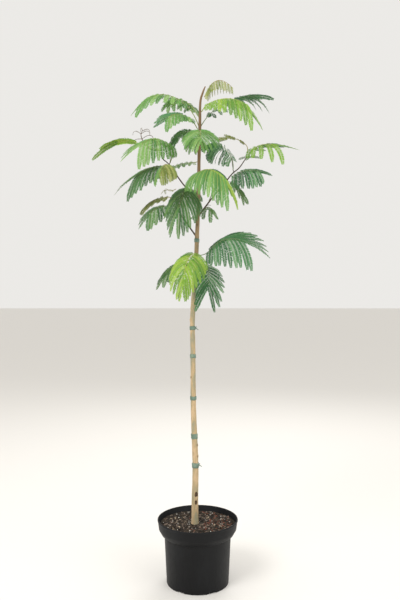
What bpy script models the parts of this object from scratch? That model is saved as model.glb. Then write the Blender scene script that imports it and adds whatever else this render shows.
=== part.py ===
"""Young silk tree in a nursery pot: one slender stem, three side boughs, doubly feathered leaves, compost and pot.

Metres, +Z up. The origin is the centre of the pot's flat underside. +X is the plant's right as seen from the front,
and the front is the -Y side. Every leaf is one thin blade of its own outline, lobed where its feathers part.
"""
import math

import bmesh
import bpy
import numpy as np

# ---- driving sizes -------------------------------------------------------------------------------------------------
RIM_R = 0.120          # pot rim, outer radius
POT_H = 0.188          # pot height
FOOT_R = 0.0925        # pot underside, outer radius
NECK_R = 0.0995        # body radius just under the collar
NECK_Z = 0.140         # where the collar springs from the body
COLLAR_Z = 0.159       # lower edge of the collar's upright band
WALL = 0.0022          # pot wall
FLOOR = 0.0028         # pot floor
SOIL_Z = 0.1724        # compost level at the stem
GAP = 0.0003           # between neighbours
SIDES = 28             # facets round the pot
NOTCHES = 6            # drain notches round the foot
NOTCH_W, NOTCH_H = 0.026, 0.0055
BLADE = 0.0024         # thickness of a leaf blade
STALK = 0.0032         # width of a leaf stalk
CLEAR = 0.0012         # a leaf stalk starts this far off the bark
TIE_W, TIE_T = 0.010, 0.0012

# The front elevation: u to the right and v down, in steps of 1/615 of the distance from the front eye point,
# which stands EYE high and DIST in front of the stem. A point is given by u, v and its depth y.
DIST, EYE, STEP, MID_U, MID_V, MID_X = 1.84, 0.84, 1 / 615.0, 200.0, 300.0, 0.0069


def at(u, v, y=0.0):
    k = (y + DIST) * STEP
    return np.array((MID_X + (u - MID_U) * k, y, EYE - (v - MID_V) * k))


def unit(a):
    return a / np.linalg.norm(a)


def ease(t, a, b, c):
    """A size that is a at 0, b half way and c at 1."""
    return (1 - t) ** 2 * a + 2 * t * (1 - t) * (2 * b - 0.5 * (a + c)) + t * t * c


def arch(t, a, mid, c):
    """Point and direction on the curve from a to c that passes mid half way."""
    b = 2 * mid - 0.5 * (a + c)
    return (1 - t) ** 2 * a + 2 * t * (1 - t) * b + t * t * c, unit(2 * (1 - t) * (b - a) + 2 * t * (c - b))


# ---- stem and boughs: u, v, y, radius in mm ---------------------------------------------------------------------------
STEM = [(194.9, 522.5, 0, 11.6), (194.9, 517, 0, 10.6), (195.0, 500, 0, 9.9), (195.5, 470, 0, 9.1), (195.0, 450, 0, 8.8),
        (194.0, 425, 0, 8.3), (193.3, 400, 0, 7.9), (193.0, 356, 0, 7.5), (192.5, 325, 0, 7.3), (193.5, 300, 0, 7.1),
        (196.0, 262, 0, 6.6), (197.3, 230, 0, 6.1), (198.5, 200, 0, 5.5), (199.0, 160, 0, 4.9), (199.8, 125, 0, 4.3),
        (200.3, 103, 0, 3.5), (202.3, 94, 0, 2.9), (205.2, 86.5, 0, 1.5)]
BOUGHS = {
    "bough_left": [(198.2, 198, 0.0, 2.7), (191, 191.5, 0.003, 2.4), (183, 184, 0.005, 2.1), (169.5, 165, 0.0, 1.7),
                   (163, 159, 0.012, 1.5), (160.5, 152.5, 0.024, 1.2)],
    "bough_right": [(198.8, 216, 0.0, 2.7), (203, 210, 0.020, 2.5), (213, 197, 0.060, 2.2), (224, 184, 0.050, 2.0),
                    (232, 174, 0.020, 1.8), (239.5, 167.5, 0.010, 1.6), (247, 156.5, 0.0, 1.3)],
    "bough_low_left": [(196.6, 237, 0.0, 2.5), (188, 225, 0.010, 2.1), (179, 212, 0.025, 1.8), (172, 203, 0.030, 1.5)],
}
# ties round the stem: height step v
TIES = [240.5, 328, 356, 398, 436, 465]

# ---- leaves ------------------------------------------------------------------------------------------------------------
# name, foot on the bark, first feathers, middle of the spine, last feathers (each u, v, y), pairs of feathers,
# feather length at the first, middle and last pair (m), angle to the spine from first to last pair (degrees),
# and how far the feathers hang on the left and on the right, from root to tip (0 level, 1 straight down).
LEAVES = [
    ("leaf_top_young", (204.3, 97, -.004), (207.5, 91, -.01), (217.5, 80.5, -.02), (231, 86, -.03), 6, (.030, .040, .026), (112, 60), (.45, .9), (.45, .9)),
    ("leaf_top_right", (201.5, 112, .0), (209, 103.5, -.02), (227, 98.5, -.06), (245, 103.5, -.10), 7, (.035, .070, .096), (80, 22), (.0, .35, .3, .6), (.25, .9)),
    ("leaf_top_right_back", (200, 128, .0), (211, 113, .015), (229, 101, .035), (249, 96, .045), 7, (.035, .058, .088), (80, 20), (-.1, .2), (.3, .7)),
    ("leaf_top_left", (199, 127, .0), (184, 103.5, -.01), (164, 94.5, -.03), (145, 100, -.04), 7, (.035, .060, .064), (75, 25), (.25, .7), (.0, .35)),
    ("leaf_upper_left", (197.5, 129, -.005), (190, 119, -.03), (179, 114, -.06), (169, 117.5, -.09), 6, (.030, .050, .056), (75, 25), (.2, .75), (-.2, .15)),
    ("leaf_upper_front", (199, 132, -.01), (199.5, 130.5, -.05), (200.5, 132, -.10), (200.5, 139, -.145), 6, (.062, .078, .055), (82, 18), (.05, .65), (.05, .65)),
    ("leaf_upper_back_left", (198, 136, .01), (192, 131, .04), (184, 131.5, .06), (177, 137, .08), 4, (.045, .050, .050), (65, 14), (.2, .55), (-.1, .2)),
    ("leaf_left_young", (161.2, 150.0, .030), (142, 139, .09), (141, 134, .095), (142.5, 131, .105), 3, (.050, .040, .035), (90, 40), (-.8, 1.1), (-.8, 1.1)),
    ("leaf_left_big", (170, 163, .0), (171, 146, .0), (157, 139, -.05), (143, 143, -.09), 7, (.045, .085, .085), (75, 24), (.4, .9), (.0, .4)),
    ("leaf_left_far", (160.0, 150.5, .026), (137, 142.8, .055), (127, 141.2, .055), (118, 142.5, .045), 3, (.085, .090, .096), (12, 12), (.0, .5), (.0, .4)),
    ("leaf_mid_left", (176, 174, .004), (168, 167, .01), (154, 167, -.01), (140, 173, -.03), 7, (.045, .080, .105), (70, 14), (.25, .78), (-.05, .35)),
    ("leaf_mid_left_front", (171, 168, -.01), (168, 165.5, -.09), (165, 164.5, -.13), (161, 169, -.17), 6, (.045, .060, .055), (80, 20), (.3, .85), (.3, .85)),
    ("leaf_mid_left_star", (176, 189, .02), (168, 190, .0), (166, 189, -.01), (164.5, 190, -.02), 2, (.022, .025, .020), (80, 30), (.0, .6), (.0, .6)),
    ("leaf_low_left_pale", (172, 203, .03), (168, 197, .04), (159, 198.5, .04), (151, 202.5, .04), 4, (.030, .040, .050), (55, 18), (.2, .6), (.0, .4)),
    ("leaf_low_left", (174, 205, .01), (165, 206, -.01), (157, 208, -.04), (150, 214, -.06), 5, (.035, .060, .055), (75, 20), (.25, .85), (.0, .5)),
    ("leaf_low_front_left", (198, 196, -.01), (186, 189.5, -.03), (183.5, 194, -.08), (179, 207, -.12), 7, (.080, .105, .095), (75, 14), (.3, .8), (.2, .75)),
    ("leaf_mid_front_right", (198.5, 180, -.01), (197, 174, -.08), (209, 169.5, -.14), (223, 178, -.20), 7, (.075, .100, .105), (80, 15), (.2, .8), (.3, .85)),
    ("leaf_mid_thin_left", (198.5, 161, .01), (193, 162.5, .04), (184, 163.5, .06), (175, 166, .08), 4, (.020, .025, .025), (70, 30), (.2, .6), (.0, .3)),
    ("leaf_right_inner", (233, 170, .0), (231.5, 158, .02), (224, 147.5, .04), (215, 144.5, .05), 6, (.035, .068, .055), (70, 30), (.45, .85), (.0, .3)),
    ("leaf_right_edge_on", (247, 153, .004), (245, 144, .02), (236, 139, .03), (228, 138, .04), 3, (.030, .038, .040), (30, 12), (.0, .1), (.0, .1)),
    ("leaf_right_far", (248.5, 154.5, -.003), (253, 149, -.01), (261, 145, -.04), (271, 144, -.06), 4, (.040, .068, .085), (75, 18), (.0, .2), (.25, .9)),
    ("leaf_right_small", (247.3, 157.3, .004), (248, 157, .03), (249, 156.5, .05), (250, 156.5, .06), 2, (.030, .035, .035), (85, 55), (.0, .3), (.0, .3)),
    ("leaf_mid_right", (231.5, 176, .01), (234, 175.5, .0), (245, 170.5, -.01), (257, 170.5, -.02), 6, (.050, .072, .048), (75, 25), (-.05, .15), (.4, .88)),
    ("leaf_mid_right_back", (209, 201, .05), (230, 182, .06), (234.5, 184.5, .06), (239, 189, .06), 3, (.040, .050, .055), (40, 18), (.0, .3), (.3, .85)),
    ("leaf_stem_small_right", (200.5, 212.5, -.01), (206, 208, -.03), (208.5, 207, -.04), (210.5, 208.5, -.05), 2, (.036, .042, .042), (75, 25), (.1, .5), (.5, .98)),
    ("leaf_stem_small_left", (196.5, 217, .005), (194.5, 217, .015), (193, 217, .02), (192, 217.3, .025), 2, (.014, .016, .014), (80, 30), (.1, .5), (.0, .4)),
    ("leaf_low_right_big", (195.5, 255.5, -.01), (209, 251, -.02), (222, 240.5, -.05), (239, 239.5, -.08), 9, (.050, .100, .108), (62, 26, 50, 22), (-.45, -.2, .05, .5), (.45, .92, .35, .82)),
    ("leaf_bottom_front", (195, 254, -.01), (193.5, 253.5, -.06), (187, 262, -.13), (183.5, 279, -.17), 7, (.070, .088, .065), (80, 15), (.2, .85), (.0, .85)),
    ("leaf_bottom_left", (194.5, 259, .01), (184, 262, .04), (176, 265, .06), (169, 271, .08), 4, (.045, .065, .070), (60, 18), (.15, .55), (.0, .4)),
    ("leaf_bottom_right", (196, 258, .01), (206, 266, .0), (208.5, 274, -.02), (208.5, 284, -.03), 6, (.050, .068, .088), (80, 26), (.1, .45), (.1, .5, .05, .4)),
    ("leaf_back_top", (199.3, 118, .005), (192, 107, .04), (181, 99.5, .09), (170, 101, .14), 5, (.035, .048, .045), (80, 20), (.2, .7), (.2, .7)),
    ("leaf_back_upper", (199, 143, .005), (198, 141, .06), (195, 138, .12), (193, 142, .18), 5, (.036, .052, .048), (80, 20), (.2, .7), (.2, .7)),
    ("leaf_back_right", (199, 176, .005), (205, 172, .05), (213, 170, .11), (221, 176, .17), 5, (.050, .070, .060), (80, 20), (.2, .75), (.2, .75)),
    ("leaf_back_left", (198, 192, .005), (192, 190, .05), (184, 189, .11), (177, 194, .17), 5, (.050, .075, .060), (80, 20), (.2, .75), (.2, .75)),
    ("leaf_back_low", (195.5, 264, .01), (193, 262, .06), (196, 260, .12), (199, 265, .18), 5, (.045, .060, .055), (80, 20), (.25, .8), (.25, .8)),
]
NOTCH_BETWEEN = 0.55   # how much of a feather's length the blade keeps between two feathers


class Leaf:
    """The spine and feathers of one leaf; left and right are as seen from its foot to its tip."""

    def __init__(self, name, foot, first, mid, last, pairs, lengths, angles, left, right):
        self.name, self.pairs, self.lengths, self.angles = name, pairs, lengths, angles
        self.hang = {-1: left, 1: right}
        self.foot, self.first, self.mid, self.last = at(*foot), at(*first), at(*mid), at(*last)
        way = (self.last - self.first) * (1, 1, 0)
        self.across = np.cross(unit(way), (0, 0, 1.0))

    def spine(self, t):
        return arch(t, self.first, self.mid, self.last)

    def stalk(self, t):
        d = self.spine(0.0)[1]
        a, c = self.foot, self.first
        b = c - d * np.linalg.norm(c - a) * 0.45
        return (1 - t) ** 2 * a + 2 * t * (1 - t) * b + t * t * c, unit(2 * (1 - t) * (b - a) + 2 * t * (c - b))

    def side(self, d):
        return unit(self.across - np.dot(self.across, d) * d)

    def feather(self, t, hand, keep=1.0, steps=6):
        """Points from the spine to the tip of the feather at t, hand +1 on the right and -1 on the left."""
        p, d = self.spine(t)
        a = self.angles[-2:] if hand > 0 else self.angles[:2]
        f = math.radians(a[0] + (a[1] - a[0]) * t)
        out = math.cos(f) * d + math.sin(f) * hand * self.side(d)
        h = self.hang[hand]
        h0, h1 = (h if len(h) == 2 else (h[0] + (h[2] - h[0]) * t, h[1] + (h[3] - h[1]) * t))
        pts = [p]
        for i in range(steps):
            w = h0 + (h1 - h0) * (i + 0.5) / steps
            pts.append(pts[-1] + unit((1 - w) * out + w * np.array((0, 0, -1.0))) * ease(t, *self.lengths) * keep / steps)
        return pts


def axis_distance(p):
    """How far p is outside the bark of the nearest stem or bough."""
    best = 1.0
    for line in [STEM] + list(BOUGHS.values()):
        for (u0, v0, y0, r0), (u1, v1, y1, r1) in zip(line, line[1:]):
            a, b = at(u0, v0, y0), at(u1, v1, y1)
            t = min(1.0, max(0.0, np.dot(p - a, b - a) / np.dot(b - a, b - a)))
            best = min(best, np.linalg.norm(p - a - t * (b - a)) - (r0 + (r1 - r0) * t) / 1000)
    return best


# ---- making objects -----------------------------------------------------------------------------------------------------
for old in list(bpy.data.objects):
    bpy.data.objects.remove(old, do_unlink=True)
scene = bpy.context.scene.collection


def material(name, color, rough, metal=0.0):
    m = bpy.data.materials.get(name) or bpy.data.materials.new(name)
    m.use_nodes = True
    b = m.node_tree.nodes["Principled BSDF"]
    b.inputs["Base Color"].default_value = (*color, 1)
    b.inputs["Roughness"].default_value = rough
    b.inputs["Metallic"].default_value = metal
    return m


BARK = material("bark", (0.42, 0.33, 0.20), 0.8)
TWIG = material("twig", (0.12, 0.08, 0.055), 0.75)
GREEN = material("leaf", (0.18, 0.33, 0.09), 0.6)
BLACK = material("pot_black", (0.016, 0.017, 0.019), 0.45)
EARTH = material("compost", (0.09, 0.055, 0.035), 0.95)
TAPE = material("tie_green", (0.16, 0.24, 0.14), 0.5)


def add(name, mesh, mat):
    o = bpy.data.objects.new(name, mesh)
    o.data.materials.append(mat)
    scene.objects.link(o)
    return o


def limb(name, line, mat, fineness, skip=0.0):
    """A tapering limb along a line, its first skip metres left off so that it starts at the bark it grows from."""
    pts = [(at(u, v, y), r / 1000) for u, v, y, r in line]
    if skip:
        (a, ra), (b, rb) = pts[0], pts[1]
        t = skip / np.linalg.norm(b - a)
        pts[0] = (a + (b - a) * t, ra + (rb - ra) * t)
    cu = bpy.data.curves.new(name, "CURVE")
    cu.dimensions = "3D"
    cu.bevel_depth = 1.0
    cu.bevel_resolution = fineness
    cu.use_fill_caps = True
    sp = cu.splines.new("POLY")
    sp.points.add(len(pts) - 1)
    for q, (p, r) in zip(sp.points, pts):
        q.co = (*p, 1)
        q.radius = r
    sp.use_smooth = True
    o = bpy.data.objects.new(name, cu)
    cu.materials.append(mat)
    scene.objects.link(o)
    return o


def turned(name, profile, mat, steps, smooth_deg=35):
    """A solid of revolution about Z; the profile runs round the section from one flat end face to the other."""
    bm = bmesh.new()
    vs = [bm.verts.new((r, 0, z)) for r, z in profile]
    es = [bm.edges.new((a, b)) for a, b in zip(vs, vs[1:])]
    bmesh.ops.spin(bm, geom=vs + es, cent=(0, 0, 0), axis=(0, 0, 1), angle=2 * math.pi, steps=steps, use_merge=True)
    bmesh.ops.remove_doubles(bm, verts=bm.verts, dist=1e-5)
    bmesh.ops.holes_fill(bm, edges=[e for e in bm.edges if len(e.link_faces) == 1], sides=0)
    bmesh.ops.recalc_face_normals(bm, faces=bm.faces)
    me = bpy.data.meshes.new(name)
    bm.to_mesh(me)
    bm.free()
    me.shade_smooth()
    me.set_sharp_from_angle(angle=math.radians(smooth_deg))
    return add(name, me, mat)


# pot: floor, body, collar and rolled lip in one wall
outer = [(FOOT_R - 0.0015, 0), (FOOT_R, 0.0015), (NECK_R, NECK_Z), (NECK_R + 0.0085, NECK_Z + 0.006),
         (RIM_R - 0.0045, COLLAR_Z), (RIM_R - 0.0012, POT_H - 0.006), (RIM_R, POT_H - 0.0035), (RIM_R - 0.0010, POT_H - 0.0004),
         (RIM_R - 0.0022, POT_H)]
inner = [(RIM_R - 0.0036, POT_H - 0.0012), (RIM_R - 0.0045 - WALL, COLLAR_Z + 0.001), (NECK_R + 0.0085 - WALL, NECK_Z + 0.0082),
         (NECK_R - WALL, NECK_Z + 0.0015), (FOOT_R - WALL, FLOOR)]
pot = turned("pot", outer + inner, BLACK, SIDES)
bm = bmesh.new()
for k in range(NOTCHES):
    a = math.radians(-90 + 27.5 + 360 / NOTCHES * k)
    n = 9
    turn = [math.radians(-30 + 240 * i / (n - 1)) for i in range(n)]
    ends = []
    for r in (FOOT_R - 0.0058, FOOT_R + 0.006):
        ends.append([bm.verts.new((r * math.cos(a) - NOTCH_W / 2 * math.cos(q) * math.sin(a), r * math.sin(a) + NOTCH_W / 2 * math.cos(q) * math.cos(a),
                                   NOTCH_H * math.sin(q))) for q in turn])
    for i in range(n):
        bm.faces.new((ends[0][i], ends[0][(i + 1) % n], ends[1][(i + 1) % n], ends[1][i]))
    bm.faces.new(ends[0])
    bm.faces.new(ends[1][::-1])
bmesh.ops.recalc_face_normals(bm, faces=bm.faces)
me = bpy.data.meshes.new("notch_cutter")
bm.to_mesh(me)
bm.free()
cut = add("notch_cutter", me, BLACK)
cut.hide_render = True
cut.display_type = "WIRE"
mod = pot.modifiers.new("notches", "BOOLEAN")
mod.operation = "DIFFERENCE"
mod.solver = "EXACT"
mod.object = cut
weld = pot.modifiers.new("weld", "WELD")
weld.merge_threshold = 0.00002

# compost: fills the pot to a little under the rim, level where the stem enters it
g = 1.2 * GAP
soil = [(FOOT_R - 0.008, FLOOR + 0.004), (FOOT_R - WALL - g, 0.012)] + [(r - g, z + g) for r, z in inner[3:0:-1]]
soil += [(RIM_R - 0.0036 - WALL - g, 0.1702), (RIM_R - 0.0100 - WALL, 0.1726), (0.080, 0.1712), (0.050, SOIL_Z + 0.0006), (0.028, SOIL_Z)]
turned("compost", soil, EARTH, SIDES, 60)

# stem: a flat level cut on the compost, a slight flare, then a steady taper to the bud
stem_line = [(u, v, y, r) for u, v, y, r in STEM]
k0 = DIST * STEP
stem_line[0] = (STEM[1][0], MID_V + (EYE - SOIL_Z - GAP) / k0, 0.0, STEM[0][3])
limb("trunk", stem_line, BARK, 3)
for name, line in BOUGHS.items():
    a, b = at(*line[0][:3]), at(*line[1][:3])
    d = unit(b - a)
    need = 0.001 * (line[0][3] + [r for u, v, y, r in STEM if v >= line[0][1]][-1]) + 0.0004
    limb(name, line, TWIG, 1, skip=need / max(0.35, math.hypot(d[0], d[1])))

# ties: narrow bands round the stem
for k, v in enumerate(TIES):
    i = next(i for i in range(1, len(STEM)) if STEM[i][1] <= v)
    (u0, v0, y0, r0), (u1, v1, y1, r1) = STEM[i - 1], STEM[i]
    t = (v - v0) / (v1 - v0)
    c, up = at(u0 + (u1 - u0) * t, v, 0.0), unit(at(u1, v1, y1) - at(u0, v0, y0))
    r = max(r0, r1) / 1000 + 0.0008
    sec = [(r, -TIE_W / 2), (r + TIE_T, -TIE_W / 2), (r + TIE_T, TIE_W / 2), (r, TIE_W / 2)]
    side = unit(np.cross(up, (0, 1.0, 0)))
    back = np.cross(up, side)
    bm = bmesh.new()
    n = 8
    rings = [[bm.verts.new(c + side * q * math.cos(2 * math.pi * j / n) + back * q * math.sin(2 * math.pi * j / n) + up * z) for q, z in sec] for j in range(n)]
    for j in range(n):
        for s in range(4):
            bm.faces.new((rings[j][s], rings[j][(s + 1) % 4], rings[(j + 1) % n][(s + 1) % 4], rings[(j + 1) % n][s]))
    bmesh.ops.recalc_face_normals(bm, faces=bm.faces)
    me = bpy.data.meshes.new("tie_%d" % (k + 1))
    bm.to_mesh(me)
    bm.free()
    me.shade_smooth()
    me.set_sharp_from_angle(angle=math.radians(40))
    add("tie_%d" % (k + 1), me, TAPE)

# leaves: a sheet over stalk, spine and feathers, given its thickness
for row in LEAVES:
    leaf = Leaf(*row)
    t = 0.0
    while t < 0.8 and axis_distance(leaf.stalk(t)[0]) < STALK / 2 + CLEAR:
        t += 0.02
    rows = []
    for j in range(2):
        p, d = leaf.stalk(t + (0.82 - t) * j)
        s = leaf.side(d) * STALK / 2
        rows.append([p - s, p - s / 2, p, p + s / 2, p + s])
    steps = 2 * (leaf.pairs - 1)
    for i in range(steps + 1):
        keep = 1.0 if i % 2 == 0 else NOTCH_BETWEEN
        a = leaf.feather(i / steps, -1, keep)
        b = leaf.feather(i / steps, 1, keep)
        rows.append([a[6], a[3], a[0], b[3], b[6]])
    bm = bmesh.new()
    vs = [[bm.verts.new(p) for p in r] for r in rows]
    for r0, r1 in zip(vs, vs[1:]):
        for j in range(4):
            a, b, c, d = r0[j], r0[j + 1], r1[j + 1], r1[j]
            if (a.co - c.co).length <= (b.co - d.co).length:
                bm.faces.new((a, b, c))
                bm.faces.new((a, c, d))
            else:
                bm.faces.new((a, b, d))
                bm.faces.new((b, c, d))
    me = bpy.data.meshes.new(leaf.name)
    bm.to_mesh(me)
    bm.free()
    o = add(leaf.name, me, GREEN)
    sol = o.modifiers.new("blade", "SOLIDIFY")
    sol.thickness = BLADE
    sol.offset = 0.0
    sol.use_even_offset = False
    sol.use_rim = True
    me.shade_smooth()
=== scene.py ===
"""Looks of the potted young silk tree: feathered leaves, barked stem and boughs, tape bands, pot, compost, stage, camera."""
import math
import random

import bmesh
import bpy
import numpy as np
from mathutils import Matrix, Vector, noise


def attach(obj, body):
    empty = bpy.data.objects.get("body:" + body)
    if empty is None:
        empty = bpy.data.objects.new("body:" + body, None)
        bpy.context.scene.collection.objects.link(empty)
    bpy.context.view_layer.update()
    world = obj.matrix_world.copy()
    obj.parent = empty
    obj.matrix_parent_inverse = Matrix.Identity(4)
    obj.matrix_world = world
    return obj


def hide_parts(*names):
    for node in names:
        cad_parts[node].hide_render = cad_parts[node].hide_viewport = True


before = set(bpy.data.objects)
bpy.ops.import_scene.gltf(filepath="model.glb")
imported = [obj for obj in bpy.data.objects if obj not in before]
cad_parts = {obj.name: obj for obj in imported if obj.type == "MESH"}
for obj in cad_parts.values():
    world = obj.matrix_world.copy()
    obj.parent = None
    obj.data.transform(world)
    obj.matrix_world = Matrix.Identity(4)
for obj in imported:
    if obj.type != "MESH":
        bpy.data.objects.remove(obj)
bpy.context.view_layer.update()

# ---- camera: level, at the front -------------------------------------------------------------------------------------
DIST, EYE, STEP, MID_U, MID_V, MID_X = 1.84, 0.84, 1 / 615.0, 200.0, 300.0, 0.0069
cam = bpy.data.cameras.new("cam")
cam.sensor_width = 36.0
cam.lens = 36.9
camera = bpy.data.objects.new("cam", cam)
camera.location = (MID_X, -DIST, EYE)
camera.rotation_euler = (math.radians(90), 0, 0)
bpy.context.scene.collection.objects.link(camera)
bpy.context.scene.camera = camera


def at(u, v, y=0.0):
    k = (y + DIST) * STEP
    return np.array((MID_X + (u - MID_U) * k, y, EYE - (v - MID_V) * k))


def unit(a):
    return a / np.linalg.norm(a)


def ease(t, a, b, c):
    return (1 - t) ** 2 * a + 2 * t * (1 - t) * (2 * b - 0.5 * (a + c)) + t * t * c


def arch(t, a, mid, c):
    b = 2 * mid - 0.5 * (a + c)
    return (1 - t) ** 2 * a + 2 * t * (1 - t) * b + t * t * c, unit(2 * (1 - t) * (b - a) + 2 * t * (c - b))


def smooth_line(pts, n):
    """n points on a smooth curve through pts (rows of any width)."""
    p = np.array(pts, float)
    p = np.vstack([2 * p[0] - p[1], p, 2 * p[-1] - p[-2]])
    out = []
    segs = len(p) - 3
    for i in range(n):
        x = i / (n - 1) * segs
        k = min(int(x), segs - 1)
        t = x - k
        a, b, c, d = p[k], p[k + 1], p[k + 2], p[k + 3]
        out.append(0.5 * (2 * b + (c - a) * t + (2 * a - 5 * b + 4 * c - d) * t * t + (3 * b - a - 3 * c + d) * t ** 3))
    return np.array(out)


# ---- materials -------------------------------------------------------------------------------------------------------
def lin(hexa):
    c = [int(hexa[i:i + 2], 16) / 255 for i in (0, 2, 4)]
    return [x / 12.92 if x <= 0.04045 else ((x + 0.055) / 1.055) ** 2.4 for x in c]


def plain(name, hexa, rough=0.55, gain=1.0):
    m = bpy.data.materials.new(name)
    m.use_nodes = True
    b = m.node_tree.nodes["Principled BSDF"]
    b.inputs["Base Color"].default_value = (*[min(0.95, c * gain) for c in lin(hexa)], 1)
    b.inputs["Roughness"].default_value = rough
    b.inputs["Specular IOR Level"].default_value = 0.35
    return m


def mottled(name, stops, scale, stretch=(1, 1, 1), rough=(0.7, 0.9), bump=0.3, fine=8.0, depth=0.0004, spec=0.3):
    """Colour stops dealt by two layers of noise, with roughness and bump of their own."""
    m = bpy.data.materials.new(name)
    m.use_nodes = True
    nt = m.node_tree
    b = nt.nodes["Principled BSDF"]
    tc = nt.nodes.new("ShaderNodeTexCoord")
    mp = nt.nodes.new("ShaderNodeMapping")
    mp.inputs["Scale"].default_value = stretch
    nt.links.new(tc.outputs["Object"], mp.inputs["Vector"])
    n1 = nt.nodes.new("ShaderNodeTexNoise")
    n1.inputs["Scale"].default_value = scale
    n1.inputs["Detail"].default_value = 6.0
    n1.inputs["Roughness"].default_value = 0.62
    nt.links.new(mp.outputs["Vector"], n1.inputs["Vector"])
    ramp = nt.nodes.new("ShaderNodeValToRGB")
    el = ramp.color_ramp.elements
    while len(el) < len(stops):
        el.new(0.5)
    for e, (pos, hexa) in zip(el, stops):
        e.position = pos
        e.color = (*lin(hexa), 1)
    nt.links.new(n1.outputs["Fac"], ramp.inputs["Fac"])
    nt.links.new(ramp.outputs["Color"], b.inputs["Base Color"])
    n2 = nt.nodes.new("ShaderNodeTexNoise")
    n2.inputs["Scale"].default_value = scale * fine
    n2.inputs["Detail"].default_value = 4.0
    nt.links.new(mp.outputs["Vector"], n2.inputs["Vector"])
    rr = nt.nodes.new("ShaderNodeMapRange")
    rr.inputs["To Min"].default_value = rough[0]
    rr.inputs["To Max"].default_value = rough[1]
    nt.links.new(n2.outputs["Fac"], rr.inputs["Value"])
    nt.links.new(rr.outputs["Result"], b.inputs["Roughness"])
    bp = nt.nodes.new("ShaderNodeBump")
    bp.inputs["Strength"].default_value = bump
    bp.inputs["Distance"].default_value = depth
    nt.links.new(n2.outputs["Fac"], bp.inputs["Height"])
    nt.links.new(bp.outputs["Normal"], b.inputs["Normal"])
    b.inputs["Specular IOR Level"].default_value = spec
    return m


# ---- mesh gathering --------------------------------------------------------------------------------------------------
class Bag:
    def __init__(self):
        self.v, self.f, self.n = [], [], 0

    def put(self, verts, faces):
        verts = np.asarray(verts, float)
        self.v.append(verts)
        self.f += [tuple(int(i) + self.n for i in f) for f in faces]
        self.n += len(verts)

    def piece(self, name, mat, slot, nodes=(), smooth=True):
        me = bpy.data.meshes.new(name)
        me.from_pydata([tuple(p) for p in np.vstack(self.v)], [], self.f)
        me.materials.append(mat)
        me.validate()
        if smooth:
            me.shade_smooth()
        o = bpy.data.objects.new(name, me)
        bpy.context.scene.collection.objects.link(o)
        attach(o, "root")
        if nodes:
            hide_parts(*nodes)
        return o


def tube(bag, pts, rad, sides, relief=None):
    """A closed tube; relief(point, angle index) gives extra radius."""
    pts = np.asarray(pts, float)
    n = len(pts)
    d0 = unit(pts[1] - pts[0])
    a = np.cross(d0, (0.0, 1.0, 0.0))
    a = unit(a) if np.linalg.norm(a) > 0.05 else unit(np.cross(d0, (1.0, 0, 0)))
    verts = []
    for i, p in enumerate(pts):
        d = unit(pts[min(i + 1, n - 1)] - pts[max(i - 1, 0)])
        a = unit(a - np.dot(a, d) * d)
        b = np.cross(d, a)
        for k in range(sides):
            q = 2 * math.pi * k / sides
            out = math.cos(q) * a + math.sin(q) * b
            r = rad[i]
            if relief:
                r += relief(p + out * r, p, out)
            verts.append(p + out * r)
    faces = []
    for i in range(n - 1):
        for k in range(sides):
            k2 = (k + 1) % sides
            faces.append((i * sides + k, i * sides + k2, (i + 1) * sides + k2, (i + 1) * sides + k))
    faces.append(tuple(range(sides))[::-1])
    faces.append(tuple((n - 1) * sides + k for k in range(sides)))
    bag.put(verts, faces)


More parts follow.
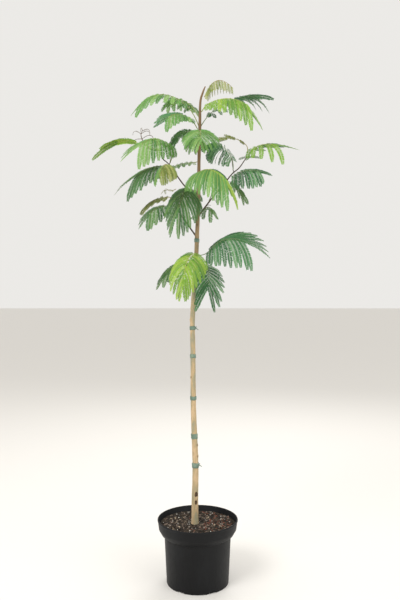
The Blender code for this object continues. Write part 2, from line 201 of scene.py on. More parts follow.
# ---- leaves ----------------------------------------------------------------------------------------------------------
# name, foot on the bark, first feathers, middle of the spine, last feathers (each u, v, y), pairs of feathers,
# feather length at first, middle, last pair (m), angle to the spine, hang on the left and on the right, tint, width (mm)
LEAVES = [
    ("leaf_top_young", (204.3, 97, -.004), (207.5, 91, -.01), (217.5, 80.5, -.02), (231, 86, -.03), 6, (.030, .040, .026), (112, 60), (.45, .9), (.45, .9), "olive", 11),
    ("leaf_top_right", (201.5, 112, .0), (209, 103.5, -.02), (227, 98.5, -.06), (245, 103.5, -.10), 7, (.035, .070, .096), (80, 22), (.0, .35, .3, .6), (.25, .9), "lime", 16),
    ("leaf_top_right_back", (200, 128, .0), (211, 113, .015), (229, 101, .035), (249, 96, .045), 7, (.035, .058, .088), (80, 20), (-.1, .2), (.3, .7), "blue", 16),
    ("leaf_top_left", (199, 127, .0), (184, 103.5, -.01), (164, 94.5, -.03), (145, 100, -.04), 7, (.035, .060, .064), (75, 25), (.25, .7), (.0, .35), "mid", 16),
    ("leaf_upper_left", (197.5, 129, -.005), (190, 119, -.03), (179, 114, -.06), (169, 117.5, -.09), 6, (.030, .050, .056), (75, 25), (.2, .75), (-.2, .15), "mid", 16),
    ("leaf_upper_front", (199, 132, -.01), (199.5, 130.5, -.05), (200.5, 132, -.10), (200.5, 139, -.145), 6, (.062, .078, .055), (82, 18), (.05, .65), (.05, .65), "mid", 16),
    ("leaf_upper_back_left", (198, 136, .01), (192, 131, .04), (184, 131.5, .06), (177, 137, .08), 4, (.045, .050, .050), (65, 14), (.2, .55), (-.1, .2), "dark", 16),
    ("leaf_left_young", (161.2, 150.0, .030), (142, 139, .09), (141, 134, .095), (142.5, 131, .105), 3, (.050, .040, .035), (90, 40), (-.8, 1.1), (-.8, 1.1), "brown", 5),
    ("leaf_left_big", (170, 163, .0), (171, 146, .0), (157, 139, -.05), (143, 143, -.09), 7, (.045, .085, .085), (75, 24), (.4, .9), (.0, .4), "mid", 16),
    ("leaf_left_far", (160.0, 150.5, .026), (137, 142.8, .055), (127, 141.2, .055), (118, 142.5, .045), 3, (.085, .090, .096), (12, 12), (.0, .5), (.0, .4), "lime", 16),
    ("leaf_mid_left", (176, 174, .004), (168, 167, .01), (154, 167, -.01), (140, 173, -.03), 7, (.045, .080, .105), (70, 14), (.25, .78), (-.05, .35), "dark", 16),
    ("leaf_mid_left_front", (171, 168, -.01), (168, 165.5, -.09), (165, 164.5, -.13), (161, 169, -.17), 6, (.045, .060, .055), (80, 20), (.3, .85), (.3, .85), "olive", 16),
    ("leaf_mid_left_star", (176, 189, .02), (168, 190, .0), (166, 189, -.01), (164.5, 190, -.02), 2, (.022, .025, .020), (80, 30), (.0, .6), (.0, .6), "olive", 7),
    ("leaf_low_left_pale", (172, 203, .03), (168, 197, .04), (159, 198.5, .04), (151, 202.5, .04), 4, (.030, .040, .050), (55, 18), (.2, .6), (.0, .4), "olive", 16),
    ("leaf_low_left", (174, 205, .01), (165, 206, -.01), (157, 208, -.04), (150, 214, -.06), 5, (.035, .060, .055), (75, 20), (.25, .85), (.0, .5), "dark", 16),
    ("leaf_low_front_left", (198, 196, -.01), (186, 189.5, -.03), (183.5, 194, -.08), (179, 207, -.12), 7, (.080, .105, .095), (75, 14), (.3, .8), (.2, .75), "dark", 16),
    ("leaf_mid_front_right", (198.5, 180, -.01), (197, 174, -.08), (209, 169.5, -.14), (223, 178, -.20), 7, (.075, .100, .105), (80, 15), (.2, .8), (.3, .85), "lime", 16),
    ("leaf_mid_thin_left", (198.5, 161, .01), (193, 162.5, .04), (184, 163.5, .06), (175, 166, .08), 4, (.020, .025, .025), (70, 30), (.2, .6), (.0, .3), "mid", 12),
    ("leaf_right_inner", (233, 170, .0), (231.5, 158, .02), (224, 147.5, .04), (215, 144.5, .05), 6, (.035, .068, .055), (70, 30), (.45, .85), (.0, .3), "blue", 16),
    ("leaf_right_edge_on", (247, 153, .004), (245, 144, .02), (236, 139, .03), (228, 138, .04), 3, (.030, .038, .040), (30, 12), (.0, .1), (.0, .1), "olive", 12),
    ("leaf_right_far", (248.5, 154.5, -.003), (253, 149, -.01), (261, 145, -.04), (271, 144, -.06), 4, (.040, .068, .085), (75, 18), (.0, .2), (.25, .9), "lime", 16),
    ("leaf_right_small", (247.3, 157.3, .004), (248, 157, .03), (249, 156.5, .05), (250, 156.5, .06), 2, (.030, .035, .035), (85, 55), (.0, .3), (.0, .3), "dark", 11),
    ("leaf_mid_right", (231.5, 176, .01), (234, 175.5, .0), (245, 170.5, -.01), (257, 170.5, -.02), 6, (.050, .072, .048), (75, 25), (-.05, .15), (.4, .88), "blue", 16),
    ("leaf_mid_right_back", (209, 201, .05), (230, 182, .06), (234.5, 184.5, .06), (239, 189, .06), 3, (.040, .050, .055), (40, 18), (.0, .3), (.3, .85), "dark", 16),
    ("leaf_stem_small_right", (200.5, 212.5, -.01), (206, 208, -.03), (208.5, 207, -.04), (210.5, 208.5, -.05), 2, (.036, .042, .042), (75, 25), (.1, .5), (.5, .98), "dark", 16),
    ("leaf_stem_small_left", (196.5, 217, .005), (194.5, 217, .015), (193, 217, .02), (192, 217.3, .025), 2, (.014, .016, .014), (80, 30), (.1, .5), (.0, .4), "dark", 8),
    ("leaf_low_right_big", (195.5, 255.5, -.01), (209, 251, -.02), (222, 240.5, -.05), (239, 239.5, -.08), 9, (.050, .100, .108), (62, 26, 50, 22), (-.45, -.2, .05, .5), (.45, .92, .35, .82), "blue", 16),
    ("leaf_bottom_front", (195, 254, -.01), (193.5, 253.5, -.06), (187, 262, -.13), (183.5, 279, -.17), 7, (.070, .088, .065), (80, 15), (.2, .85), (.0, .85), "lime", 16),
    ("leaf_bottom_left", (194.5, 259, .01), (184, 262, .04), (176, 265, .06), (169, 271, .08), 4, (.045, .065, .070), (60, 18), (.15, .55), (.0, .4), "dark", 16),
    ("leaf_bottom_right", (196, 258, .01), (206, 266, .0), (208.5, 274, -.02), (208.5, 284, -.03), 6, (.050, .068, .088), (80, 26), (.1, .45), (.1, .5, .05, .4), "blue", 16),
    ("leaf_back_top", (199.3, 118, .005), (192, 107, .04), (181, 99.5, .09), (170, 101, .14), 5, (.035, .048, .045), (80, 20), (.2, .7), (.2, .7), "mid", 16),
    ("leaf_back_upper", (199, 143, .005), (198, 141, .06), (195, 138, .12), (193, 142, .18), 5, (.036, .052, .048), (80, 20), (.2, .7), (.2, .7), "mid", 16),
    ("leaf_back_right", (199, 176, .005), (205, 172, .05), (213, 170, .11), (221, 176, .17), 5, (.050, .070, .060), (80, 20), (.2, .75), (.2, .75), "blue", 16),
    ("leaf_back_left", (198, 192, .005), (192, 190, .05), (184, 189, .11), (177, 194, .17), 5, (.050, .075, .060), (80, 20), (.2, .75), (.2, .75), "dark", 16),
    ("leaf_back_low", (195.5, 264, .01), (193, 262, .06), (196, 260, .12), (199, 265, .18), 5, (.045, .060, .055), (80, 20), (.25, .8), (.25, .8), "dark", 16),
]
TINTS = {  # three shades for each tint, dealt out by feather
    "lime": ("5f8c30", "76a034", "90b23c"), "mid": ("4a7d38", "5e9044", "7aa456"), "dark": ("3a6634", "47763c", "5d8846"),
    "blue": ("37693c", "467a48", "618f5c"), "olive": ("6f8038", "86964a", "a0a860"), "brown": ("5f5338", "6e6245", "857750"),
}
SLOT = {"lime": "leaf_lime", "mid": "leaf_mid", "dark": "leaf_dark", "blue": "leaf_blue", "olive": "leaf_olive", "brown": "leaf_olive"}
# a leaflet: along (0 to 1), across (-0.5 to 0.5), dip of the fold
SHAPE = np.array([(0, 0, 0), (.16, .36, .1), (.5, .5, .16), (.84, .36, .1), (1, .05, 0), (.86, -.28, .1), (.5, -.42, .16), (.14, -.3, .1), (.5, .02, -.06)])
FAN = [(8, i, (i + 1) % 8) for i in range(8)]


class Leaf:
    def __init__(self, name, foot, first, mid, last, pairs, lengths, angles, left, right, tint, width):
        self.name, self.pairs, self.lengths, self.angles, self.tint, self.width = name, pairs, lengths, angles, tint, width / 1000
        self.hang = {-1: left, 1: right}
        self.face = 1.3
        self.lean = 0.02 if mid[2] > 0.05 else -0.03
        self.spread = 0.6
        self.foot, self.first, self.mid, self.last = at(*foot), at(*first), at(*mid), at(*last)
        way = (self.last - self.first) * (1, 1, 0)
        self.across = np.cross(unit(way), (0, 0, 1.0))

    def spine(self, t):
        return arch(t, self.first, self.mid, self.last)

    def stalk(self, t):
        d = self.spine(0.0)[1]
        a, c = self.foot, self.first
        b = c - d * np.linalg.norm(c - a) * 0.45
        return (1 - t) ** 2 * a + 2 * t * (1 - t) * b + t * t * c

    def side(self, d):
        return unit(self.across - np.dot(self.across, d) * d)

    def feather(self, t, hand, steps=12, twist=0.0, keep=1.0):
        p, d = self.spine(t)
        a = self.angles[-2:] if hand > 0 else self.angles[:2]
        f = math.radians(a[0] + (a[1] - a[0]) * t + twist)
        out = math.cos(f) * d + math.sin(f) * hand * self.side(d)
        h = self.hang[hand]
        h0, h1 = (h if len(h) == 2 else (h[0] + (h[2] - h[0]) * t, h[1] + (h[3] - h[1]) * t))
        pts = [p]
        for i in range(steps):
            w = h0 + (h1 - h0) * (i + 0.5) / steps
            pts.append(pts[-1] + unit((1 - w) * out + w * np.array((0, 0, -1.0))) * ease(t, *self.lengths) * keep / steps)
        return np.array(pts), d


CORE = [(0.17, -0.008), (0.6, -0.011), (0.84, -0.012), (0.95, -0.005), (1.14, 0.003), (1.25, 0.004), (1.37, 0.007), (1.49, 0.02)]


def core(z):
    """The stem's middle at a height."""
    return np.array((np.interp(z, [a for a, b in CORE], [b for a, b in CORE]), 0.0, z))


DENSE = {"leaf_top_young": 1.7, "leaf_mid_front_right": 1.55, "leaf_mid_left_front": 1.5, "leaf_low_right_big": 1.15, "leaf_mid_left": 1.45,
         "leaf_right_inner": 1.4, "leaf_top_right": 1.5, "leaf_low_front_left": 1.3}
# a leaf whose one side has another tint than the other
HALVES = {("leaf_mid_front_right", 1): "mid", ("leaf_top_right", -1): "mid", ("leaf_right_far", -1): "dark", ("leaf_mid_left_front", 1): "mid",
          ("leaf_upper_left", 1): "blue"}
rng = random.Random(41)
blades = {(t, k): Bag() for t in TINTS for k in range(3)}
ribs = {t: Bag() for t in TINTS}
owners = {}
for row in LEAVES:
    leaf = Leaf(*row)
    owners.setdefault(leaf.tint, []).append(leaf.name)
    thick = 0.0011 if leaf.width > 0.01 else 0.0015 if leaf.tint == "brown" else 0.0008
    run = [leaf.stalk(t) for t in np.linspace(0, 1, 8)][:-1] + [leaf.spine(t)[0] for t in np.linspace(0, 1, 16)]
    tube(ribs[leaf.tint], run, np.linspace(thick * 1.25, thick * 0.5, len(run)), 6)
    many = leaf.pairs if leaf.pairs < 4 else round(leaf.pairs * DENSE.get(leaf.name, 1.3))
    for i in range(many):
        t = i / (many - 1)
        for hand in (-1, 1):
            pts, ds = leaf.feather(t, hand, twist=rng.uniform(-3, 3), keep=rng.uniform(0.95, 1.02))
            n = len(pts)
            tube(ribs[leaf.tint], pts, np.linspace(thick * 0.55, thick * 0.25, n), 4)
            length = np.linalg.norm(np.diff(pts, axis=0), axis=1).sum()
            count = max(5, int(length / 0.0031))
            bag = blades[(HALVES.get((leaf.name, hand), leaf.tint), min(2, max(0, int(rng.gauss(1.5, 0.75)))))]
            lift = math.radians(rng.uniform(-4, 16))
            for j in range(count):
                s = (j + 0.9) / (count + 0.3)
                x = min(s, 0.999) * (n - 1)
                k = int(x)
                p = pts[k] + (pts[k + 1] - pts[k]) * (x - k)
                d = unit(pts[min(k + 1, n - 1)] - pts[k])
                lat = unit(ds - np.dot(ds, d) * d)
                nrm = np.cross(d, lat)
                if nrm[2] < 0:
                    nrm = -nrm
                away = (p - core(p[2])) * (1, 2.2, 0.0) + (0, leaf.lean, 0)
                tilt = leaf.across * hand * leaf.spread
                if tilt[1] * away[1] < 0:
                    tilt = tilt * (1, -1, 1)
                nrm = nrm + unit(away) * leaf.face + tilt
                nrm = unit(nrm - np.dot(nrm, d) * d)
                lat = np.cross(nrm, d)
                size = leaf.width * 0.585 * min(1.0, 0.62 + 2.2 * s) * min(1.0, 0.45 + 2.3 * (1 - s))
                for sd in (-1, 1):
                    ang = math.radians(66 - 18 * s + rng.uniform(-5, 5))
                    up = lift + math.radians(rng.uniform(-7, 7))
                    q = lat * sd
                    ax = math.cos(ang) * d + math.sin(ang) * (math.cos(up) * q - math.sin(up) * nrm)
                    ac = unit(np.cross(nrm, ax)) * sd
                    nn = np.cross(ax, ac)
                    ln = size * rng.uniform(0.93, 1.05)
                    wd = min(0.0033, leaf.width * 0.20) * (0.85 + 0.15 * min(1.0, 4 * (1 - s)))
                    bag.put(p + SHAPE[:, :1] * ln * ax + SHAPE[:, 1:2] * wd * ac + SHAPE[:, 2:] * wd * 0.5 * nn, FAN)
for (tint, k), bag in blades.items():
    if bag.n:
        mat = plain("leaf_%s_%d" % (tint, k), TINTS[tint][k], 0.55, 1.0)
        bag.piece("leaflets_%s_%d" % (tint, k), mat, SLOT[tint], owners[tint], smooth=False)
RIB = {"lime": "a8b25a", "mid": "8d9a55", "dark": "7a8450", "blue": "7f9068", "olive": "9a8a50", "brown": "5f4a34"}
for tint, bag in ribs.items():
    bag.piece("leaf_ribs_" + tint, plain("rib_" + tint, RIB[tint], 0.5), SLOT[tint], owners[tint])

# ---- stem and boughs -------------------------------------------------------------------------------------------------
STEM = [(194.9, 523.6, 0, 11.8), (194.9, 520.5, 0, 11.2), (194.9, 517, 0, 10.6), (195.0, 500, 0, 9.9), (195.5, 470, 0, 9.1), (195.0, 450, 0, 8.8),
        (194.0, 425, 0, 8.3), (193.3, 400, 0, 7.9), (193.0, 356, 0, 7.5), (192.5, 325, 0, 7.3), (193.5, 300, 0, 7.1),
        (196.0, 262, 0, 6.6), (197.3, 230, 0, 6.1), (198.5, 200, 0, 5.5), (199.0, 160, 0, 4.9), (199.8, 125, 0, 4.3),
        (200.3, 103, 0, 3.5), (202.3, 94, 0, 2.9), (205.2, 86.5, 0, 1.5)]
BOUGHS = {
    "bough_left": [(198.2, 198, 0.0, 2.7), (191, 191.5, 0.003, 2.4), (183, 184, 0.005, 2.1), (169.5, 165, 0.0, 1.7),
                   (163, 159, 0.012, 1.5), (160.5, 152.5, 0.024, 1.2)],
    "bough_right": [(198.8, 216, 0.0, 2.7), (203, 210, 0.020, 2.5), (213, 197, 0.060, 2.2), (224, 184, 0.050, 2.0),
                    (232, 174, 0.020, 1.8), (239.5, 167.5, 0.010, 1.6), (247, 156.5, 0.0, 1.3)],
    "bough_low_left": [(196.6, 237, 0.0, 2.5), (188, 225, 0.010, 2.1), (179, 212, 0.025, 1.8), (172, 203, 0.030, 1.5)],
}
SMALL = [  # short side stalks: u, v, y, radius in mm
    [(169.5, 165, 0.0, 1.1), (170.4, 159, -0.004, 0.8), (170, 153.5, -0.006, 0.5)],
    [(233.5, 172, 0.018, 1.1), (232.5, 165, 0.012, 0.9), (231.5, 158, 0.008, 0.5)],
    [(206.5, 205.5, 0.032, 0.9), (208.5, 203, 0.026, 0.7), (210, 201, 0.022, 0.4)],
    [(206.5, 205.5, 0.032, 0.9), (209, 205, 0.024, 0.7), (211, 205.5, 0.018, 0.4)],
    [(213, 197, 0.058, 0.9), (215.5, 201, 0.05, 0.7), (218, 205, 0.044, 0.4)],
    [(224, 184, 0.049, 0.8), (223, 179, 0.044, 0.6), (221, 175, 0.04, 0.4)],
]
BUDS = [(189.8, 308, -1), (190, 320, -1), (193, 325, 0), (193.5, 338, 0), (194, 367, 0), (190.3, 377, -1), (192.5, 412, 0), (197.6, 445, 1),
        (197.5, 456, 1), (198, 218, 0), (198, 225, 0), (195, 283, 1), (199, 180, 1), (198, 151, -1), (196.8, 498, 0)]
bud_at = [at(u, v, 0.0 if hand else -0.0078) for u, v, hand in BUDS]


def bark_relief(p, c, out):
    h = 0.00035 * noise.noise(Vector((p[0] * 260, p[1] * 260, p[2] * 60))) + 0.0005 * noise.noise(Vector((p[0] * 60, p[1] * 60, p[2] * 22)))
    for b in bud_at:
        w = np.linalg.norm((p - b) * (1, 1, 0.75))
        if w < 0.009:
            h += 0.0016 * math.exp(-(w / 0.0032) ** 2)
    return h


def brown_upwards(m, low, high, hexa, amount):
    """Mixes a brown into a material's colour from height low to height high."""
    nt = m.node_tree
    b = nt.nodes["Principled BSDF"]
    link = b.inputs["Base Color"].links[0]
    src = link.from_socket
    tc = nt.nodes.new("ShaderNodeTexCoord")
    sep = nt.nodes.new("ShaderNodeSeparateXYZ")
    nt.links.new(tc.outputs["Object"], sep.inputs[0])
    mr = nt.nodes.new("ShaderNodeMapRange")
    mr.inputs["From Min"].default_value = low
    mr.inputs["From Max"].default_value = high
    mr.inputs["To Max"].default_value = amount
    nt.links.new(sep.outputs["Z"], mr.inputs["Value"])
    mix = nt.nodes.new("ShaderNodeMix")
    mix.data_type = "RGBA"
    nt.links.new(mr.outputs["Result"], mix.inputs[0])
    nt.links.new(src, mix.inputs[6])
    mix.inputs[7].default_value = (*lin(hexa), 1)
    nt.links.new(mix.outputs[2], b.inputs["Base Color"])


line = smooth_line(STEM, 560)
bag = Bag()
tube(bag, [at(u, v, y) for u, v, y, r in line], line[:, 3] / 1000, 28, bark_relief)
BARK = mottled("bark", [(0.28, "77765a"), (0.40, "95927a"), (0.52, "b29d78"), (0.62, "c9ae8a"), (0.76, "8a7e5c")], 34, (1.6, 1.6, 0.45), (0.6, 0.9), 0.55, 9, 0.0008)
brown_upwards(BARK, 0.86, 1.20, "6e5036", 0.8)
bag.piece("stem", BARK, "bark", ["trunk"])
TWIG = mottled("twig", [(0.3, "3a3028"), (0.55, "54463a"), (0.75, "6b5a48")], 60, (1, 1, 0.5), (0.6, 0.85), 0.4, 6, 0.0004)
for name, pts in BOUGHS.items():
    line = smooth_line(pts, 90)
    bag = Bag()
    tube(bag, [at(u, v, y) for u, v, y, r in line], line[:, 3] / 1000, 12,
         lambda p, c, out: 0.00025 * noise.noise(Vector((p[0] * 200, p[1] * 200, p[2] * 200))))
    bag.piece(name + "_bark", TWIG, "twig", [name])

bag = Bag()
for u, v, ru, rv, dz in ((196.3, 493.6, 1.7, 3.0, 0.0004), (196.0, 501.5, 1.3, 2.4, 0.0002), (197.6, 445, 0.8, 1.5, 0.0003), (197.6, 456, 0.7, 1.4, 0.0003),
                         (190.6, 313, 0.7, 1.6, 0.0003), (190.7, 377, 0.7, 1.2, 0.0003), (197.2, 218, 0.6, 1.3, 0.0003), (197.3, 225, 0.6, 1.0, 0.0003)):
    i = next(i for i in range(1, len(STEM)) if STEM[i][1] <= v)
    (u0, v0, y0, r0), (u1, v1, y1, r1) = STEM[i - 1], STEM[i]
    t = (v - v0) / (v1 - v0)
    cx, rad = at(u0 + (u1 - u0) * t, v)[0], (r0 + (r1 - r0) * t) / 1000
    vs, fs, n, m = [], [], 16, 5
    for a in range(m):
        q = a / (m - 1) * math.pi / 2
        for j in range(n):
            w = 2 * math.pi * j / n
            g = math.cos(q) * (1 + 0.15 * noise.noise(Vector((math.cos(w) * 2, math.sin(w) * 2, u + v))))
            x = at(u + ru * g * math.cos(w), v)[0] - cx
            x = max(-0.96 * rad, min(0.96 * rad, x))
            z = at(u, v + rv * g * math.sin(w))[2]
            vs.append((cx + x, -math.sqrt(rad * rad - x * x) - dz - 0.0004 * math.sin(q) + (0.0011 if a == 0 else 0), z))
    for a in range(m - 1):
        for j in range(n):
            fs.append((a * n + j, a * n + (j + 1) % n, (a + 1) * n + (j + 1) % n, (a + 1) * n + j))
    fs.append(tuple((m - 1) * n + j for j in range(n)))
    fs.append(tuple(range(n))[::-1])
    bag.put(vs, fs)
bag.piece("scars", mottled("scar", [(0.35, "3a2a1c"), (0.6, "5a4632"), (0.75, "726147")], 220, (1, 1, 1), (0.7, 0.9), 0.5, 4, 0.0005), "twig", ["trunk"])

bag = Bag()
for pts in SMALL:
    line = smooth_line(pts, 14)
    tube(bag, [at(u, v, y) for u, v, y, r in line], line[:, 3] / 1000, 8)
bag.piece("side_stalks", TWIG, "twig")

# ---- tape bands ------------------------------------------------------------------------------------------------------
TAPE = mottled("tape", [(0.35, "5f7565"), (0.55, "73887a"), (0.7, "8a9a84")], 90, (1, 1, 1), (0.45, 0.65), 0.3, 5, 0.0003)
TIES = [240.5, 328, 356, 398, 436, 465]
for k, v in enumerate(TIES):
    i = next(i for i in range(1, len(STEM)) if STEM[i][1] <= v)
    (u0, v0, y0, r0), (u1, v1, y1, r1) = STEM[i - 1], STEM[i]
    t = (v - v0) / (v1 - v0)
    c, up = at(u0 + (u1 - u0) * t, v, 0.0), unit(at(u1, v1, 0) - at(u0, v0, 0))
    sx = unit(np.cross((0, 1.0, 0), up))
    sy = np.cross(up, sx)
    r = (r0 + (r1 - r0) * t) / 1000
    sec = [(0.0003, -1), (0.0012, -0.98), (0.0018, -0.6), (0.0014, -0.1), (0.0019, 0.5), (0.0013, 0.96), (0.0003, 1)]
    n, vs, fs = 48, [], []
    for j in range(n):
        q = 2 * math.pi * j / n
        w = noise.noise(Vector((math.cos(q) * 1.7, math.sin(q) * 1.7, k * 3.1)))
        for dr, z in sec:
            vs.append(c + (sx * math.cos(q) + sy * math.sin(q)) * (r + dr + 0.0005 * w * (dr > 0.0005)) + up * (z * (0.0075 if k in (4, 5) else 0.0055) + 0.0014 * w))
    m = len(sec)
    for j in range(n):
        for s in range(m):
            fs.append((j * m + s, j * m + (s + 1) % m, ((j + 1) % n) * m + (s + 1) % m, ((j + 1) % n) * m + s))
    bag = Bag()
    bag.put(vs, fs)
    if k in (1, 5):  # a knot with two short tails at the right
        base = c + sx * (r + 0.001)
        for side, drop in ((1, -0.006), (0.4, 0.004)):
            tail = [base, base + sx * 0.004 * side + up * drop * 0.4 + sy * 0.002, base + sx * 0.009 * side + up * drop + sy * 0.003]
            tube(bag, smooth_line(tail, 8), np.linspace(0.0018, 0.0009, 8), 8)
    bag.piece("tape_%d" % (k + 1), TAPE, "tie", ["tie_%d" % (k + 1)])

# ---- pot -------------------------------------------------------------------------------------------------------------
RIM_R, POT_H, FOOT_R, NECK_R, NECK_Z, COLLAR_Z, WALL, FLOOR, SOIL_Z = 0.120, 0.188, 0.0925, 0.0995, 0.140, 0.159, 0.0022, 0.0028, 0.1724
outer = [(FOOT_R - 0.0015, 0), (FOOT_R - 0.0004, 0.0004), (FOOT_R, 0.0015), (NECK_R - 0.0006, NECK_Z - 0.004), (NECK_R, NECK_Z), (NECK_R + 0.002, NECK_Z + 0.0012),
         (NECK_R + 0.0085, NECK_Z + 0.006), (RIM_R - 0.0075, COLLAR_Z - 0.005), (RIM_R - 0.0045, COLLAR_Z), (RIM_R - 0.0042, COLLAR_Z + 0.001),
         (RIM_R - 0.0013, POT_H - 0.0068), (RIM_R - 0.0012, POT_H - 0.006), (RIM_R - 0.0003, POT_H - 0.0048), (RIM_R, POT_H - 0.0035), (RIM_R - 0.0003, POT_H - 0.0015),
         (RIM_R - 0.0010, POT_H - 0.0004), (RIM_R - 0.0022, POT_H)]
inner = [(RIM_R - 0.0032, POT_H - 0.0004), (RIM_R - 0.0036, POT_H - 0.0012), (RIM_R - 0.0045 - WALL, COLLAR_Z + 0.001), (NECK_R + 0.0085 - WALL, NECK_Z + 0.0082),
         (NECK_R - WALL, NECK_Z + 0.0015), (FOOT_R - WALL, FLOOR)]
bm = bmesh.new()
vs = [bm.verts.new((r, 0, z)) for r, z in outer + inner]
es = [bm.edges.new((a, b)) for a, b in zip(vs, vs[1:])]
bmesh.ops.spin(bm, geom=vs + es, cent=(0, 0, 0), axis=(0, 0, 1), angle=2 * math.pi, steps=144, use_merge=True)
bmesh.ops.remove_doubles(bm, verts=bm.verts, dist=1e-5)
bmesh.ops.holes_fill(bm, edges=[e for e in bm.edges if len(e.link_faces) == 1], sides=0)
bmesh.ops.recalc_face_normals(bm, faces=bm.faces)
me = bpy.data.meshes.new("pot_shell")
bm.to_mesh(me)
bm.free()
me.shade_smooth()
me.set_sharp_from_angle(angle=math.radians(40))
pot = bpy.data.objects.new("pot_shell", me)
bpy.context.scene.collection.objects.link(pot)
bm = bmesh.new()
for k in range(6):
    a = math.radians(-90 + 27.5 + 60 * k)
    n = 17
    ends = []
    for r in (FOOT_R - 0.0058, FOOT_R + 0.006):
        ends.append([bm.verts.new((r * math.cos(a) - 0.013 * math.cos(q) * math.sin(a), r * math.sin(a) + 0.013 * math.cos(q) * math.cos(a), 0.0055 * math.sin(q)))
                     for q in [math.radians(-30 + 240 * i / (n - 1)) for i in range(n)]])
    for i in range(n):
        bm.faces.new((ends[0][i], ends[0][(i + 1) % n], ends[1][(i + 1) % n], ends[1][i]))
    bm.faces.new(ends[0])
    bm.faces.new(ends[1][::-1])
bmesh.ops.recalc_face_normals(bm, faces=bm.faces)
me = bpy.data.meshes.new("notches")
bm.to_mesh(me)
bm.free()
cut = bpy.data.objects.new("notches", me)
bpy.context.scene.collection.objects.link(cut)
mod = pot.modifiers.new("notches", "BOOLEAN")
mod.operation, mod.solver, mod.object = "DIFFERENCE", "EXACT", cut
dg = bpy.context.evaluated_depsgraph_get()
made = bpy.data.meshes.new_from_object(pot.evaluated_get(dg))
pot.modifiers.clear()
pot.data = made
bpy.data.objects.remove(cut, do_unlink=True)
made.materials.clear()
made.materials.append(mottled("pot_black", [(0.3, "0a0a0c"), (0.52, "0f1012"), (0.7, "16181a"), (0.85, "242727")], 16, (1, 1, 0.35), (0.42, 0.66), 0.18, 14, 0.0003, 0.22))
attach(pot, "root")
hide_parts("pot")

# ---- compost ---------------------------------------------------------------------------------------------------------
def soil_z(x, y):
    r = math.hypot(x, y)
    z = SOIL_Z + 0.0006 * min(1, r / 0.05) - 0.0016 * max(0, (r - 0.09) / 0.024)
    return z + 0.0016 * noise.noise(Vector((x * 70, y * 70, 1.3))) + 0.0009 * noise.noise(Vector((x * 220, y * 220, 4.7)))


rings, segs, R = 46, 128, 0.1134
vs, fs = [(0, 0, soil_z(0, 0))], []
for i in range(1, rings + 1):
    for j in range(segs):
        q = 2 * math.pi * j / segs
        x, y = R * i / rings * math.cos(q), R * i / rings * math.sin(q)
        vs.append((x, y, soil_z(x, y)))
for j in range(segs):
    fs.append((0, 1 + j, 1 + (j + 1) % segs))
    for i in range(rings - 1):
        a, b = 1 + i * segs + j, 1 + i * segs + (j + 1) % segs
        fs.append((a, a + segs, b + segs, b))
last = 1 + (rings - 1) * segs
low = len(vs)
for j in range(segs):
    q = 2 * math.pi * j / segs
    vs.append((0.110 * math.cos(q), 0.110 * math.sin(q), 0.158))
for j in range(segs):
    j2 = (j + 1) % segs
    fs.append((last + j, low + j, low + j2, last + j2))
fs.append(tuple(low + j for j in range(segs))[::-1])
bag = Bag()
bag.put(vs, fs)
bag.piece("compost_top", mottled("compost", [(0.3, "19140f"), (0.5, "2b251c"), (0.66, "3c3428"), (0.8, "544a3c")], 120, (1, 1, 1), (0.8, 1.0), 0.7, 4, 0.0012), "compost", ["compost"])
CHIPS = {"dark": ("29211a", 620), "mid": ("453a2e", 420), "pink": ("746458", 130), "red": ("6a3c2b", 80), "pale": ("a08e78", 36)}
CUBE = np.array([(x, y, z) for x in (-1, 1) for y in (-1, 1) for z in (-1, 1)], float)
CF = [(0, 1, 3, 2), (4, 6, 7, 5), (0, 4, 5, 1), (2, 3, 7, 6), (0, 2, 6, 4), (1, 5, 7, 3)]
rng = random.Random(8)


def turn(rng, flat):
    a, b = rng.uniform(0, 2 * math.pi), rng.uniform(-flat, flat)
    e, g = rng.uniform(-flat, flat), math
    rz = np.array(((g.cos(a), -g.sin(a), 0), (g.sin(a), g.cos(a), 0), (0, 0, 1)))
    rx = np.array(((1, 0, 0), (0, g.cos(b), -g.sin(b)), (0, g.sin(b), g.cos(b))))
    ry = np.array(((g.cos(e), 0, g.sin(e)), (0, 1, 0), (-g.sin(e), 0, g.cos(e))))
    return rz @ rx @ ry


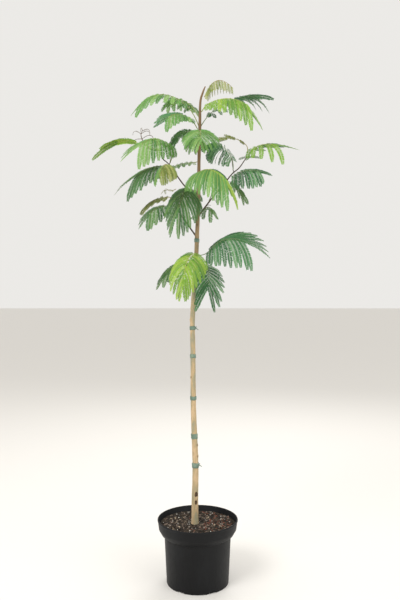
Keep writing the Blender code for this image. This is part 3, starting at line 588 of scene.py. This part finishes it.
for kind, (hexa, count) in CHIPS.items():
    bag = Bag()
    for _ in range(count):
        rad, q = 0.1055 * math.sqrt(rng.random()), rng.gauss(0, 0.75) if kind == "red" else rng.uniform(0, 2 * math.pi)
        x, y = rad * math.cos(q), rad * math.sin(q)
        if rad < 0.016:
            continue
        dims = np.array((rng.uniform(0.0022, 0.0062), rng.uniform(0.0013, 0.003), rng.uniform(0.0006, 0.0014)))
        shape = CUBE * dims * [[rng.uniform(0.55, 1.05) for _ in range(3)] for _ in range(8)]
        bag.put(shape @ turn(rng, 0.45).T + (x, y, soil_z(x, y) + 0.0008), CF)
    bag.piece("chips_" + kind, mottled("chip_" + kind, [(0.3, hexa), (0.7, hexa)], 150, (1, 1, 1), (0.7, 0.95), 0.5, 4, 0.0005), "compost", ["compost"], smooth=False)
bag = Bag()
for _ in range(85):
    rad, q = 0.106 * math.sqrt(rng.random()), rng.uniform(0, 2 * math.pi)
    x, y = rad * math.cos(q), rad * math.sin(q)
    if rad > 0.014:
        s = rng.uniform(0.0006, 0.0013)
        shape = CUBE * s * [[rng.uniform(0.6, 1.1) for _ in range(3)] for _ in range(8)]
        bag.put(shape @ turn(rng, 1.5).T + (x, y, soil_z(x, y) + 0.0012), CF)
bag.piece("grit", mottled("grit", [(0.3, "cfcac0"), (0.7, "e8e4dc")], 200, (1, 1, 1), (0.7, 0.95), 0.4, 4, 0.0004), "compost", ["compost"])

# ---- stage -----------------------------------------------------------------------------------------------------------
vs = [(-60, -60, 0), (60, -60, 0), (60, 60, 0), (-60, 60, 0)]
me = bpy.data.meshes.new("floor")
me.from_pydata(vs, [], [(0, 1, 2, 3)])
me.materials.append(plain("floor", "e9e6e1", 0.85))
floor = bpy.data.objects.new("floor", me)
bpy.context.scene.collection.objects.link(floor)
world = bpy.data.worlds.new("world")
bpy.context.scene.world = world
world.use_nodes = True
world.node_tree.nodes["Background"].inputs["Color"].default_value = (0.93, 0.915, 0.885, 1)
world.node_tree.nodes["Background"].inputs["Strength"].default_value = 0.9


def lamp(name, loc, size, power, to=(0, 0, 0.8)):
    l = bpy.data.lights.new(name, "AREA")
    l.shape, l.size, l.energy = "DISK", size, power
    o = bpy.data.objects.new(name, l)
    o.location = loc
    o.rotation_euler = (Vector(to) - Vector(loc)).to_track_quat("-Z", "Y").to_euler()
    bpy.context.scene.collection.objects.link(o)


lamp("key", (-1.6, -2.0, 2.9), 1.6, 58)
lamp("fill", (2.2, -1.8, 1.6), 2.2, 22)
lamp("back", (0.6, 2.2, 2.6), 1.8, 30)

bpy.context.scene.view_settings.view_transform = "Standard"
bpy.context.view_layer.update()
